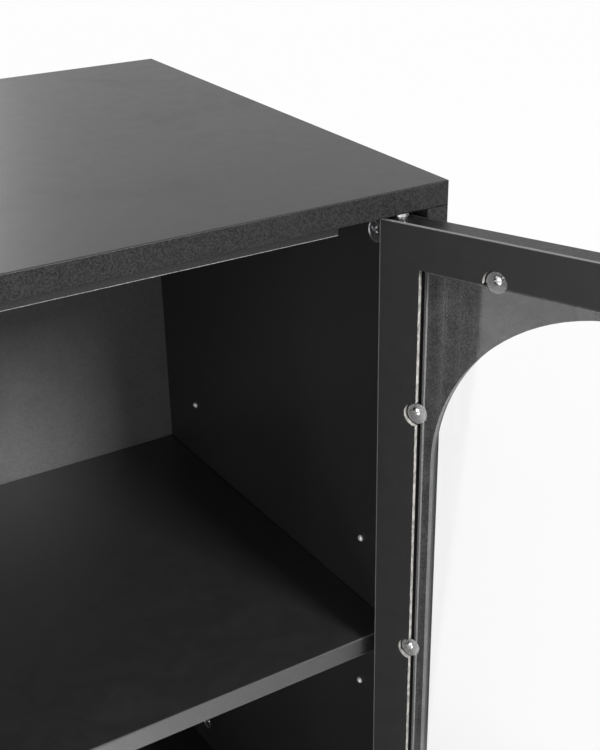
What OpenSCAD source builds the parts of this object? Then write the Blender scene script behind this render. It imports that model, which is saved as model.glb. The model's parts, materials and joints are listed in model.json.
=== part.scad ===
// Media cabinet on tapered legs. Two bays stand side by side, each with one shelf and
// a pair of glazed doors. The doors turn on pins at their top and bottom edges, and
// each has a round-headed window routed in one panel, with glass laid in from behind.
// Origin: on the floor under the middle of the cabinet. X runs along the width to the
// right, Y from front to back and Z up. Every size is in millimetres.

/* [Carcass] */
// Width over the two side boards
cabinet_w = 1327; // [1200:1:1500]
// Depth of the top, the bottom and the sides
cabinet_d = 390; // [360:1:460]
// Height of the box from the underside of the bottom to the upper face of the top
carcass_h = 684; // [620:1:760]
// Height of the box above the floor
floor_gap = 116; // [90:1:180]
// Thickness of the carcass boards
board_t = 15; // [15:1:18]
// Radius on the arrises of the boards and doors
edge_r = 0.8; // [0.4:0.1:1.2]

/* [Back panels] */
// Thickness of the back panels
back_t = 3; // [2.5:0.5:4]
// Distance from the rear edges of the boards to the back panels
back_inset = 17.5; // [12:0.5:24]
// Depth of the grooves that hold the back panels
groove_depth = 5; // [3:0.5:5.5]
// Width of the cable opening in each back panel
cable_w = 120; // [60:1:180]
// Height of the cable opening
cable_h = 46; // [30:1:70]
// Height of the cable opening above the bottom board
cable_rise = 32; // [20:1:60]

/* [Shelves] */
// Thickness of the shelves
shelf_t = 15; // [12:1:18]
// Distance from the front of the cabinet to the front edge of a shelf
shelf_setback = 25; // [22:1:45]
// Gap at each end of a shelf
shelf_end_gap = 1.5; // [1.4:0.1:2.5]
// Gap between a shelf and the back panel
shelf_rear_gap = 0.6; // [0.3:0.1:3]
// Diameter of the holes for the shelf pins
pin_hole_d = 5; // [4.6:0.1:6]
// Depth of the holes for the shelf pins in the sides
pin_hole_depth = 9; // [8:0.5:11]
// Length of a shelf pin in its hole
pin_len = 7; // [5.5:0.1:7.3]
// Height between one hole and the next
pin_pitch = 64; // [32:1:80]
// Holes in a column
pin_rows = 3; // [1:2:5]
// Distance from the front of the cabinet to the front column of holes
pin_front = 67; // [60:1:100]
// Distance from the rear of the cabinet to the rear column of holes
pin_rear = 72; // [60:1:100]
// Width of a shelf pin's flat tongue
tongue_w = 9; // [7:0.5:12]
// Thickness of the tongue
tongue_t = 1.8; // [1.2:0.1:2.4]
// Reach of the tongue under the shelf
tongue_reach = 12; // [9:0.5:16]
// Depth of the tongue's upper face under the middle of the pin
tongue_drop = 2; // [1.5:0.1:2.4]

/* [Doors] */
// Gap between a door and the board that it is hinged beside
hinge_gap = 3; // [2.4:0.1:4]
// Gap between the two doors of a bay
meeting_gap = 3; // [2:0.1:5]
// Gap above and below each door
end_gap = 4.5; // [3.6:0.1:6]
// Distance from a door's hinge edge to its pivot
pivot_inset = 10.5; // [9.5:0.1:12]
// Distance from the edges of a door to the rebate for the glass
rebate_inset = 27; // [25:0.5:30]
// Depth of the rebate
rebate_depth = 8; // [6.5:0.1:9]
// Distance from the edges of a door to its window
window_margin = 35; // [33:0.5:50]
// Thickness of the glass
glass_t = 4; // [3:0.1:5]
// Gap between the glass and the rebate's walls
glass_gap = 2; // [1.6:0.1:3]
// Width of the bevel ground on the arrises of the glass
glass_arris = 0.8; // [0.3:0.1:1.2]
// Angle at which the right outer door stands open
right_outer_open = 114; // [0:1:116]
// Angle at which the other three doors stand open
others_open = 0; // [0:1:80]

/* [Glass clips] */
// Diameter of the round pocket for each clip
clip_pocket_d = 16; // [14:0.5:18]
// Gap round a clip in its pocket
clip_gap = 1.4; // [0.6:0.1:2]
// Thickness of a clip
clip_t = 1.8; // [1.4:0.1:3]
// Distance from the middle of a clip to its screw
clip_screw_offset = 2; // [1.5:0.1:2.4]
// Distance from the top of a door to the highest clips of the stiles
clip_first = 122.5; // [90:0.5:150]
// Distance from one clip of a stile to the next
clip_pitch = 179.5; // [120:0.5:200]
// Clips on each stile
stile_clips = 3; // [2:1:3]
// Distance from the sides of a door to the clips of its rails
rail_clip_inset = 76; // [60:1:110]
// Distance from the rebate's wall to the clips of the rails, into the rail
rail_clip_set = 1.5; // [0:0.1:2]

/* [Pivots] */
// Diameter of the pivot pins
pivot_d = 5; // [4:0.1:5.4]
// Depth to which a pin is set in the door
pivot_set = 24; // [16:1:30]
// Reach of a pin into its bush
pivot_reach = 6.5; // [5:0.5:7]
// Diameter of the collar that carries the door
collar_d = 7.4; // [6.6:0.1:9]
// Diameter of a bush's flange
bush_flange_d = 9.6; // [9:0.1:12]
// Thickness of a bush's flange
bush_flange_t = 2.9; // [1.5:0.1:3]
// Diameter of a bush's body
bush_d = 7.6; // [6.8:0.1:8.4]
// Length of a bush's body in the board
bush_len = 8.5; // [7.5:0.5:9.5]
// Radial clearance of a pin in its bush
pivot_play = 0.05; // [0.02:0.01:0.09]
// Clearance between a collar and the bush that it turns on
collar_play = 0.3; // [0.2:0.05:0.6]

/* [Door stops and catches] */
// Distance from a closed door to the stop rail behind it
stop_gap = 1; // [0.8:0.1:2]
// Height of the rail's upright flange
rail_h = 11; // [8:0.5:14]
// Depth of the rail's level flange
rail_d = 16; // [15:0.5:24]
// Thickness of the rail's sheet
rail_t = 1.5; // [1:0.1:2]
// Distance from the ends of a rail to the upright boards
rail_end_gap = 52; // [35:1:80]
// Width of the catch
catch_w = 44; // [40:1:60]
// Depth of the catch
catch_d = 13; // [11:0.5:14]
// Height of the catch
catch_h = 14; // [12:0.5:18]
// Width of a catch's magnet
magnet_w = 10; // [8:0.5:12]
// Height of the magnet
magnet_h = 8; // [6:0.5:10]
// Clearance between a magnet and the strike plate
magnet_gap = 0.3; // [0.3:0.1:1]
// Width of a strike plate
strike_w = 13; // [11:0.5:16]
// Height of a strike plate
strike_h = 18; // [16:0.5:22]
// Thickness of a strike plate
strike_t = 1; // [0.8:0.1:1.2]

/* [Knobs] */
// Diameter of a knob's head
knob_d = 22; // [16:1:28]
// Reach of a knob in front of the door
knob_reach = 22; // [18:1:25]
// Distance from the free edge of a door to its knob
knob_inset = 16; // [14:0.5:19]

/* [Legs] */
// Width of the square plate on a leg
plate_w = 76; // [64:1:90]
// Thickness of the plate
plate_t = 3; // [2:0.5:5]
// Diameter of a leg at its top
leg_top_d = 34; // [28:1:38]
// Diameter of a leg at its foot
leg_foot_d = 23; // [20:1:28]
// Distance from the sides of the cabinet to the middle of a leg
leg_inset_x = 60; // [50:1:120]
// Distance from the front and the rear to the middle of a leg
leg_inset_y = 55; // [48:1:90]
// Diameter of a glide
glide_d = 22; // [16:1:26]
// Height of a glide
glide_h = 6; // [4:0.5:10]

/* [Hidden] */

// Fineness of round edges
$fn = 48;
// Radial clearance of a peg, screw or bush that stays in its hole
seat_play = 0.05;
// Radial clearance of a screw in a plain hole
hole_play = 0.2;
// Space left beyond the end of whatever is set in a blind bore
bore_end_gap = 0.5;
// Amount by which a cut runs past the face that it opens
over = 1;

// Proportions of a pan-head screw, as shares of its head's height and diameter and of
// its shank's diameter
screw_crown_share = 0.45;
screw_cross_floor_share = 0.35;
screw_cross_width_share = 0.2;
screw_cross_length_share = 0.62;
screw_tip_share = 0.8;
screw_tip_end_share = 0.3;

// Colours
board_black = [0.09, 0.09, 0.09];
back_grey = [0.16, 0.16, 0.16];
metal_black = [0.12, 0.12, 0.12];
plastic_black = [0.05, 0.05, 0.05];
bright_metal = [0.75, 0.75, 0.76];
clear_plastic = [0.85, 0.88, 0.88, 0.6];
glass_tint = [0.75, 0.85, 0.85, 0.35];

// Heights and places of the carcass
bottom_z = floor_gap;
inner_z0 = bottom_z + board_t;
inner_h = carcass_h - 2 * board_t;
inner_z1 = inner_z0 + inner_h;
front_y = -cabinet_d / 2;
rear_y = cabinet_d / 2;
bay_w = (cabinet_w - 3 * board_t) / 2;
left_bay_x = -board_t / 2 - bay_w;
right_bay_x = board_t / 2;
bays_x = [left_bay_x, right_bay_x];
uprights_x = [-cabinet_w / 2, -board_t / 2, cabinet_w / 2 - board_t];

// Back panels
back_y = rear_y - back_inset - back_t;
groove_play = 0.2;
groove_end_play = 0.4;
cable_r = 12;

// Shelves: the middle hole is half way up the bay, and its pins carry the shelf
middle_z = inner_z0 + inner_h / 2;
shelf_z = middle_z - tongue_drop;
shelf_w = bay_w - 2 * shelf_end_gap;
shelf_y = front_y + shelf_setback;
shelf_d = back_y - shelf_rear_gap - shelf_y;
columns_y = [front_y + pin_front, rear_y - pin_rear];
pin_heights = [for (n = [0:pin_rows - 1]) middle_z + (n - (pin_rows - 1) / 2) * pin_pitch];
pin_d = pin_hole_d - 2 * seat_play;
tongue_gap = 0.3;
tongue_plate_t = shelf_end_gap - tongue_gap;
tongue_rise = 4;

// Joints between the boards: the cam locks and dowels stand in the ends of the uprights
cam_d = 15;
cam_depth = 12.5;
cam_inset = 29;
cam_from_edge = 53.5;
cam_rear_gap = 0.2;
cam_body = cam_depth - cam_rear_gap;
cam_turn = 20;
cam_cross_depth = 2;
cam_cross_l = 9;
cam_cross_w = 1.8;
cams_y = [front_y + cam_from_edge, rear_y - cam_from_edge];
cam_bore_d = 7.6;
bolt_d = 6;
bolt_neck_d = 4;
bolt_head_d = 6.8;
bolt_head_t = 3;
bolt_thread_d = 7;
bolt_set = 10.5;
dowel_d = 8;
dowel_len = 30;
dowel_set = 8.5;
dowel_chamfer = 1;
dowel_bore = dowel_len - dowel_set + bore_end_gap;
dowel_step = 32;
dowels_y = [cams_y[0] + dowel_step, 0, cams_y[1] - dowel_step];

// Doors: local x runs from the pivot to the free edge, y towards the inside and z up
door_w = (bay_w - 2 * hinge_gap - meeting_gap) / 2;
door_h = inner_h - 2 * end_gap;
door_t = board_t;
door_z = inner_z0 + end_gap;
pivot_y = front_y + door_t / 2;
pivot_from_board = hinge_gap + pivot_inset;
inner_face = door_t / 2;
rebate_floor = inner_face - rebate_depth;
window_w = door_w - 2 * window_margin;
window_r = window_w / 2;
window_h = door_h - 2 * window_margin;
glass_w = door_w - 2 * (rebate_inset + glass_gap);
glass_h = door_h - 2 * (rebate_inset + glass_gap);
glass_top = rebate_floor + glass_t;

// Clips: the pockets are centred on the rebate's walls and as deep as the glass
clip_d = clip_pocket_d - 2 * clip_gap;
clip_crown = 0.8;
clip_hole_d = 3.2;
clip_screw_d = 3;
clip_screw_len = 9;
clip_head_d = 5.4;
clip_head_h = 1.9;
clip_sink = 0.6;
clip_seat = glass_top + clip_t - clip_sink;
stile_clip_x = [rebate_inset, door_w - rebate_inset];
rail_clip_x = [rail_clip_inset, door_w - rail_clip_inset];
rail_clip_z = [rebate_inset - rail_clip_set, door_h - rebate_inset + rail_clip_set];
stile_screw_turn = 90;
rail_screw_turn = 60;
// Each clip is its place across the door, its height and the turn, from the door's +X
// upwards, at which its screw lies from its middle
clip_places = [
    for (x = stile_clip_x, n = [0:stile_clips - 1])
        [x, door_h - clip_first - n * clip_pitch, stile_screw_turn],
    for (side = [0, 1], end = [0, 1])
        [rail_clip_x[side], rail_clip_z[end],
         (end == 0 ? -1 : 1) * (side == 0 ? rail_screw_turn : 180 - rail_screw_turn)]
];
function clip_screw_shift(turn) = clip_screw_offset * [cos(turn), sin(turn)];

// Pivots
collar_t = end_gap - bush_flange_t - collar_play;

// Stops and catches
rail_y = front_y + door_t + stop_gap;
rail_w = bay_w - 2 * rail_end_gap;
rail_bend_r = 2;
rail_screw_d = 3.5;
rail_screw_grip = 10;
rail_screw_from_rear = 6;
rail_screw_y = rail_y + rail_d - rail_screw_from_rear;
rail_screw_head_d = 7;
rail_screw_head_h = 2.2;
rail_screw_inset = 30;
rail_notch_gap = 2;
rail_outer_screw = rail_w / 2 - rail_screw_inset;
rail_inner_screw = catch_w / 2 + rail_notch_gap + rail_screw_inset;
rail_screws_x = [-rail_outer_screw, -rail_inner_screw, rail_inner_screw, rail_outer_screw];
strike_y = front_y + door_t;
magnet_y = strike_y + strike_t + magnet_gap;
magnet_out = 0.8;
magnet_d = 6;
catch_y = magnet_y + magnet_out;
catch_z = inner_z1 - rail_t - catch_h;
catch_r = 2;
catch_screw_d = 3;
catch_screw_sink = 3;
catch_screw_grip = 8;
catch_screw_len = catch_h - catch_screw_sink + rail_t + catch_screw_grip;
catch_screw_head_d = 5.4;
catch_screw_from_end = 6;
catch_screw_from_rear = 4;
catch_screw_x = catch_w / 2 - catch_screw_from_end;
catch_screw_y = catch_y + catch_d - catch_screw_from_rear;
strike_from_edge = 12;
strike_top_gap = 2;
magnet_x = strike_from_edge + meeting_gap / 2;
magnet_z = inner_z1 - end_gap - strike_top_gap - magnet_h / 2;
strike_screw_rise = 4.5;
strike_screw_len = 11;
strike_r = 2;
strike_z = door_h - strike_top_gap - strike_h;
strike_screw_z = strike_z + strike_screw_rise;

// Knobs
knob_base_d = 12;
knob_neck_d = 8.5;
knob_screw_d = 4;
knob_screw_head_d = 7.6;
knob_screw_head_h = 2.6;
knob_thread = 11;
knob_base_t = 2;
knob_head_t = 8;
knob_rim_r = 2.4;
knob_fillet = 2;
knob_dome_r = 40;
knob_x = door_w - knob_inset;
knob_z = door_h / 2;

// Legs
legs_x = cabinet_w / 2 - leg_inset_x;
legs_y = cabinet_d / 2 - leg_inset_y;
leg_places = [
    [-legs_x, -legs_y], [legs_x, -legs_y], [-legs_x, legs_y], [legs_x, legs_y], [0, 0]
];
plate_z = bottom_z - plate_t;
plate_r = 8;
leg_screw_inset = 10;
leg_screw_d = 4;
leg_screw_grip = 11;
leg_screw_head_d = 8;
leg_screw_head_h = 2.6;
glide_chamfer = 1;
stud_d = 8;
stud_len = 16;

leg_screw_places = [
    for (x = [-1, 1], y = [-1, 1]) [x, y] * (plate_w / 2 - leg_screw_inset)
];

// ---- Shapes that repeat ----

// Rectangle with round corners, from the origin
module round_rect(w, h, r) {
    translate([r, 0]) square([w - 2 * r, h]);
    translate([0, r]) square([w, h - 2 * r]);
    for (x = [r, w - r], y = [r, h - r]) {
        translate([x, y]) circle(r);
    }
}

// Board from the origin with a radius on every arris
module eased_board(size) {
    intersection() {
        linear_extrude(size[2]) round_rect(size[0], size[1], edge_r);
        translate([0, size[1], 0]) rotate([90, 0, 0])
            linear_extrude(size[1]) round_rect(size[0], size[2], edge_r);
        rotate([90, 0, 90]) linear_extrude(size[0]) round_rect(size[1], size[2], edge_r);
    }
}

// Upright board from the origin, square at its ends and eased along its long arrises
module eased_upright(size) {
    linear_extrude(size[2]) round_rect(size[0], size[1], edge_r);
}

// Cylinder along +X
module along_x(d, len) {
    rotate([0, 90, 0]) cylinder(d = d, h = len);
}

// Cylinder along +Y
module along_y(d, len) {
    rotate([-90, 0, 0]) cylinder(d = d, h = len);
}

// Disc on z = 0 whose upper face is domed by the crown
module crowned_disc(d, h, crown) {
    dome_r = (pow(d / 2, 2) + pow(crown, 2)) / (2 * crown);
    rotate_extrude() intersection() {
        translate([0, h - dome_r]) circle(dome_r, $fn = 96);
        square([d / 2, h]);
    }
}

// Pan-head screw: the seat of its head is at z = 0, and its point hangs down -Z
module pan_screw(d, len, head_d, head_h) {
    crown = screw_crown_share * head_h;
    cross_floor = screw_cross_floor_share * head_h;
    cross_w = screw_cross_width_share * head_d;
    cross_l = screw_cross_length_share * head_d;
    tip = screw_tip_share * d;
    difference() {
        union() {
            crowned_disc(head_d, head_h, crown);
            translate([0, 0, tip - len]) cylinder(d = d, h = len - tip);
            translate([0, 0, -len]) cylinder(d1 = screw_tip_end_share * d, d2 = d, h = tip);
        }
        for (turn = [0, 90]) {
            rotate([0, 0, turn]) translate([-cross_l / 2, -cross_w / 2, cross_floor])
                cube([cross_l, cross_w, head_h]);
        }
    }
}

// ---- Carcass boards ----

// Bores in a board that lies on the ends of the uprights, cut upwards from z = 0
module end_joint_bores() {
    for (x = uprights_x) {
        translate([x + board_t / 2, 0, 0]) {
            for (y = cams_y) {
                translate([0, y, -over])
                    cylinder(d = bolt_thread_d + 2 * seat_play, h = bolt_set + bore_end_gap + over);
            }
            for (y = dowels_y) {
                translate([0, y, -over])
                    cylinder(d = dowel_d + 2 * seat_play, h = dowel_set + bore_end_gap + over);
            }
        }
    }
}

// Grooves for the two back panels, cut upwards from z = 0
module back_grooves() {
    for (x = bays_x) {
        translate([x - groove_depth, back_y - groove_play, -over])
            cube([bay_w + 2 * groove_depth, back_t + 2 * groove_play, groove_depth + over]);
    }
}

// Holes for the bushes of the door pivots, cut upwards from z = 0
module bush_holes() {
    for (x = bays_x, side = [0, 1]) {
        translate([x + (side == 0 ? pivot_from_board : bay_w - pivot_from_board), pivot_y, -over])
            cylinder(d = bush_d + 2 * seat_play, h = bush_len + bore_end_gap + over);
    }
}

module board_cuts() {
    end_joint_bores();
    back_grooves();
    bush_holes();
}

module top_board() {
    color(board_black) difference() {
        translate([-cabinet_w / 2, front_y, inner_z1])
            eased_board([cabinet_w, cabinet_d, board_t]);
        translate([0, 0, inner_z1]) board_cuts();
        for (x = bays_x) {
            translate([x + bay_w / 2, 0, inner_z1 - over]) {
                for (dx = rail_screws_x) {
                    translate([dx, rail_screw_y, 0])
                        cylinder(d = rail_screw_d + 2 * seat_play, h = rail_screw_grip
                            + bore_end_gap + over);
                }
                for (dx = [-catch_screw_x, catch_screw_x]) {
                    translate([dx, catch_screw_y, 0])
                        cylinder(d = catch_screw_d + 2 * seat_play, h = catch_screw_grip
                            + bore_end_gap + over);
                }
            }
        }
    }
}

module bottom_board() {
    color(board_black) difference() {
        translate([-cabinet_w / 2, front_y, bottom_z])
            eased_board([cabinet_w, cabinet_d, board_t]);
        translate([0, 0, inner_z0]) mirror([0, 0, 1]) board_cuts();
        for (place = leg_places, screw = leg_screw_places) {
            translate([place[0] + screw[0], place[1] + screw[1], bottom_z - over])
                cylinder(d = leg_screw_d + 2 * seat_play, h = leg_screw_grip
                    + bore_end_gap + over);
        }
    }
}

// Bore into the face of an upright that looks along side * X, from its middle plane
module face_bore(side, d, depth) {
    translate([side > 0 ? board_t / 2 - depth : -board_t / 2 - over, 0, 0])
        along_x(d, depth + over);
}

// Upright board with its left face at x. Faces lists the sides, -1 and 1, that look
// into a bay; the cams are let into the first of them.
module upright(x, faces) {
    color(board_black) difference() {
        translate([x, front_y, inner_z0]) eased_upright([board_t, cabinet_d, inner_h]);
        translate([x + board_t / 2, 0, 0]) {
            for (end = [-1, 1]) {
                translate([0, 0, middle_z + end * inner_h / 2]) {
                    for (y = cams_y) {
                        translate([0, y, -end * cam_inset]) face_bore(faces[0], cam_d, cam_depth);
                        translate([0, y, end > 0 ? -cam_inset : -over])
                            cylinder(d = cam_bore_d, h = cam_inset + over);
                    }
                    for (y = dowels_y) {
                        translate([0, y, end > 0 ? -dowel_bore : -over])
                            cylinder(d = dowel_d + 2 * seat_play, h = dowel_bore + over);
                    }
                }
            }
            for (side = faces) {
                translate([side > 0 ? board_t / 2 - groove_depth : -board_t / 2 - over,
                           back_y - groove_play, inner_z0 - over])
                    cube([groove_depth + over, back_t + 2 * groove_play, inner_h + 2 * over]);
            }
            for (y = columns_y, z = pin_heights) {
                translate([0, y, z]) {
                    if (len(faces) > 1)
                        translate([-board_t / 2 - over, 0, 0])
                            along_x(pin_hole_d, board_t + 2 * over);
                    else face_bore(faces[0], pin_hole_d, pin_hole_depth);
                }
            }
        }
    }
}

module left_side() {
    upright(uprights_x[0], [1]);
}

module divider() {
    upright(uprights_x[1], [-1, 1]);
}

module right_side() {
    upright(uprights_x[2], [-1]);
}

// Back panel of the bay that starts at x, with its edges in the grooves
module back_panel(x) {
    edge = groove_depth - groove_end_play;
    color(back_grey) difference() {
        translate([x - edge, back_y, inner_z0 - edge])
            cube([bay_w + 2 * edge, back_t, inner_h + 2 * edge]);
        translate([x + (bay_w - cable_w) / 2, back_y + back_t + over, inner_z0 + cable_rise])
            rotate([90, 0, 0]) linear_extrude(back_t + 2 * over)
                round_rect(cable_w, cable_h, cable_r);
    }
}

module left_back() {
    back_panel(left_bay_x);
}

module right_back() {
    back_panel(right_bay_x);
}

// ---- Shelves ----

module shelf(x) {
    color(board_black) translate([x + shelf_end_gap, shelf_y, shelf_z])
        eased_board([shelf_w, shelf_d, shelf_t]);
}

module left_shelf() {
    shelf(left_bay_x);
}

module right_shelf() {
    shelf(right_bay_x);
}

// Spoon-shaped shelf pin at the mouth of its hole; the hole lies towards -X
module shelf_pin() {
    translate([-pin_len, 0, 0]) along_x(pin_d, pin_len + tongue_plate_t / 2);
    translate([0, -tongue_w / 2, -tongue_drop - tongue_t])
        cube([tongue_plate_t, tongue_w, tongue_drop + tongue_t + tongue_rise]);
    translate([0, 0, -tongue_drop - tongue_t]) linear_extrude(tongue_t) {
        translate([0, -tongue_w / 2]) square([tongue_reach - tongue_w / 2, tongue_w]);
        translate([tongue_reach - tongue_w / 2, 0]) circle(d = tongue_w);
    }
}

module shelf_pins() {
    color(bright_metal) for (x = bays_x, y = columns_y) {
        translate([x, y, middle_z]) shelf_pin();
        translate([x + bay_w, y, middle_z]) mirror([1, 0, 0]) shelf_pin();
    }
}

// ---- Knock-down fittings ----

// Places its children at the middle of every end joint, with +Z out of the upright
module at_end_joints(ys) {
    for (x = uprights_x, y = ys) {
        translate([x + board_t / 2, y, inner_z1]) children();
        translate([x + board_t / 2, y, inner_z0]) mirror([0, 0, 1]) children();
    }
}

// Cam with a cross in its face; it opens along +Z for the head of its bolt
module cam() {
    difference() {
        translate([board_t / 2 - cam_depth, 0, 0]) along_x(cam_d - 4 * seat_play, cam_body);
        cylinder(d = cam_bore_d, h = cam_d);
        translate([0, 0, -bolt_head_t]) cylinder(d = cam_bore_d, h = cam_d);
        for (turn = [0, 90]) {
            translate([board_t / 2 - cam_cross_depth, 0, 0]) rotate([turn + cam_turn, 0, 0])
                translate([0, -cam_cross_l / 2, -cam_cross_w / 2])
                    cube([cam_cross_depth + over, cam_cross_l, cam_cross_w]);
        }
    }
}

module cam_locks() {
    color(bright_metal) for (i = [0:2], y = cams_y) {
        side = i == 0 ? 1 : -1;
        translate([uprights_x[i] + board_t / 2, y, 0]) {
            translate([0, 0, inner_z1 - cam_inset]) scale([side, 1, 1]) cam();
            translate([0, 0, inner_z0 + cam_inset]) scale([side, 1, -1]) cam();
        }
    }
}

module cam_bolt() {
    neck_z = -cam_inset + bolt_head_t / 2;
    translate([0, 0, -cam_inset - bolt_head_t / 2]) cylinder(d = bolt_head_d, h = bolt_head_t);
    translate([0, 0, neck_z - over / 2]) cylinder(d = bolt_neck_d, h = cam_d / 2 + over / 2);
    translate([0, 0, neck_z + cam_d / 2 - over / 2])
        cylinder(d = bolt_d, h = -neck_z - cam_d / 2 + over / 2);
    translate([0, 0, -over / 2]) cylinder(d = bolt_d, h = over);
    cylinder(d = bolt_thread_d, h = bolt_set);
}

module cam_bolts() {
    color(bright_metal) at_end_joints(cams_y) cam_bolt();
}

module dowel() {
    z0 = dowel_set - dowel_len;
    translate([0, 0, z0]) cylinder(d1 = dowel_d - 2 * dowel_chamfer, d2 = dowel_d, h = dowel_chamfer);
    translate([0, 0, z0 + dowel_chamfer]) cylinder(d = dowel_d, h = dowel_len - 2 * dowel_chamfer);
    translate([0, 0, dowel_set - dowel_chamfer])
        cylinder(d1 = dowel_d, d2 = dowel_d - 2 * dowel_chamfer, h = dowel_chamfer);
}

module dowels() {
    color("burlywood") at_end_joints(dowels_y) dowel();
}

// ---- Stop rails and catches ----

// Section of the folded rail: its level flange lies along +X, its upright one hangs down
// and ends in a round edge
module rail_section() {
    translate([rail_bend_r, -rail_t]) square([rail_d - rail_bend_r, rail_t]);
    translate([0, rail_t / 2 - rail_h]) square([rail_t, rail_h - rail_t / 2 - rail_bend_r]);
    translate([rail_t / 2, rail_t / 2 - rail_h]) circle(d = rail_t);
    intersection() {
        translate([rail_bend_r, -rail_bend_r]) difference() {
            circle(rail_bend_r);
            circle(rail_bend_r - rail_t);
        }
        translate([0, -rail_bend_r]) square(rail_bend_r);
    }
}

module stop_rail(x) {
    notch_w = catch_w + 2 * rail_notch_gap;
    color(metal_black) translate([x + bay_w / 2, rail_y, inner_z1]) difference() {
        translate([-rail_w / 2, 0, 0]) rotate([90, 0, 90]) linear_extrude(rail_w) rail_section();
        translate([-notch_w / 2, -over, -rail_h - over])
            cube([notch_w, rail_bend_r + 2 * over, rail_h - rail_t + over]);
        for (dx = rail_screws_x) {
            translate([dx, rail_screw_y - rail_y, -rail_t - over])
                cylinder(d = rail_screw_d + 2 * hole_play, h = rail_t + 2 * over);
        }
        for (dx = [-catch_screw_x, catch_screw_x]) {
            translate([dx, catch_screw_y - rail_y, -rail_t - over])
                cylinder(d = catch_screw_d + 2 * hole_play, h = rail_t + 2 * over);
        }
    }
}

module left_stop_rail() {
    stop_rail(left_bay_x);
}

module right_stop_rail() {
    stop_rail(right_bay_x);
}

module rail_screws() {
    color(bright_metal) for (x = bays_x, dx = rail_screws_x) {
        translate([x + bay_w / 2 + dx, rail_screw_y, inner_z1 - rail_t]) mirror([0, 0, 1])
            pan_screw(rail_screw_d, rail_screw_grip + rail_t, rail_screw_head_d, rail_screw_head_h);
    }
}

// Magnet of a catch, from the middle of its face
module magnet(play) {
    translate([-magnet_w / 2 - play, 0, -magnet_h / 2 - play])
        cube([magnet_w + 2 * play, magnet_d + play, magnet_h + 2 * play]);
}

module catch(x) {
    color(plastic_black) translate([x + bay_w / 2, 0, 0]) difference() {
        translate([-catch_w / 2, catch_y, catch_z]) linear_extrude(catch_h)
            round_rect(catch_w, catch_d, catch_r);
        for (dx = [-magnet_x, magnet_x]) {
            translate([dx, magnet_y, magnet_z]) magnet(seat_play);
        }
        for (dx = [-catch_screw_x, catch_screw_x]) {
            translate([dx, catch_screw_y, catch_z - over]) {
                cylinder(d = catch_screw_d + 2 * hole_play, h = catch_h + 2 * over);
                cylinder(d = catch_screw_head_d + 2 * hole_play, h = catch_screw_sink + over);
            }
        }
    }
}

module left_catch() {
    catch(left_bay_x);
}

module right_catch() {
    catch(right_bay_x);
}

module catch_magnets() {
    color(bright_metal) for (x = bays_x, side = [-1, 1]) {
        translate([x + bay_w / 2 + side * magnet_x, magnet_y, magnet_z]) magnet(0);
    }
}

module catch_screws() {
    color(bright_metal) for (x = bays_x, side = [-1, 1]) {
        translate([x + bay_w / 2 + side * catch_screw_x, catch_screw_y, catch_z + catch_screw_sink])
            mirror([0, 0, 1])
                pan_screw(catch_screw_d, catch_screw_len, catch_screw_head_d, clip_head_h);
    }
}

// ---- Pivots ----

// Flanged bush: its body goes up from z = 0 and its flange hangs below
module pivot_bush() {
    difference() {
        union() {
            cylinder(d = bush_d, h = bush_len);
            translate([0, 0, -bush_flange_t]) cylinder(d = bush_flange_d, h = bush_flange_t);
        }
        translate([0, 0, -bush_flange_t - over])
            cylinder(d = pivot_d + 2 * pivot_play, h = bush_flange_t + bush_len + 2 * over);
    }
}

module pivot_bushes() {
    color(bright_metal) for (x = bays_x, side = [-1, 1]) {
        translate([x + bay_w / 2 + side * (bay_w / 2 - pivot_from_board), pivot_y, 0]) {
            translate([0, 0, inner_z1]) pivot_bush();
            translate([0, 0, inner_z0]) mirror([0, 0, 1]) pivot_bush();
        }
    }
}

// Pivot pin: its collar seats on z = 0 and its shank is set below
module pivot_pin() {
    translate([0, 0, -pivot_set])
        cylinder(d = pivot_d, h = pivot_set + collar_t + collar_play + pivot_reach);
    cylinder(d = collar_d, h = collar_t);
}

// ---- Legs ----

// Tapered leg on its square plate, from the floor at the middle of the foot
module leg(place) {
    color(metal_black) translate([place[0], place[1], 0]) difference() {
        union() {
            translate([0, 0, glide_h])
                cylinder(d1 = leg_foot_d, d2 = leg_top_d, h = plate_z - glide_h + plate_t / 2);
            translate([-plate_w / 2, -plate_w / 2, plate_z]) linear_extrude(plate_t)
                round_rect(plate_w, plate_w, plate_r);
        }
        translate([0, 0, glide_h - over])
            cylinder(d = stud_d + 2 * seat_play, h = stud_len + bore_end_gap + over);
        for (screw = leg_screw_places) {
            translate([screw[0], screw[1], plate_z - over])
                cylinder(d = leg_screw_d + 2 * hole_play, h = plate_t + 2 * over);
        }
    }
}

module front_left_leg() {
    leg(leg_places[0]);
}

module front_right_leg() {
    leg(leg_places[1]);
}

module rear_left_leg() {
    leg(leg_places[2]);
}

module rear_right_leg() {
    leg(leg_places[3]);
}

module centre_leg() {
    leg(leg_places[4]);
}

module leg_glides() {
    color(plastic_black) for (place = leg_places) {
        translate([place[0], place[1], 0]) {
            cylinder(d1 = glide_d - 2 * glide_chamfer, d2 = glide_d, h = glide_chamfer);
            translate([0, 0, glide_chamfer]) cylinder(d = glide_d, h = glide_h - glide_chamfer);
            cylinder(d = stud_d, h = glide_h + stud_len);
        }
    }
}

module leg_screws() {
    color(bright_metal) for (place = leg_places, screw = leg_screw_places) {
        translate([place[0] + screw[0], place[1] + screw[1], plate_z]) mirror([0, 0, 1])
            pan_screw(leg_screw_d, leg_screw_grip + plate_t, leg_screw_head_d, leg_screw_head_h);
    }
}

// ---- Doors ----
// A door piece is modelled from the bottom of the hinge edge, on the middle plane of the
// door, with +X towards the free edge and +Y towards the inside of the cabinet.

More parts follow.
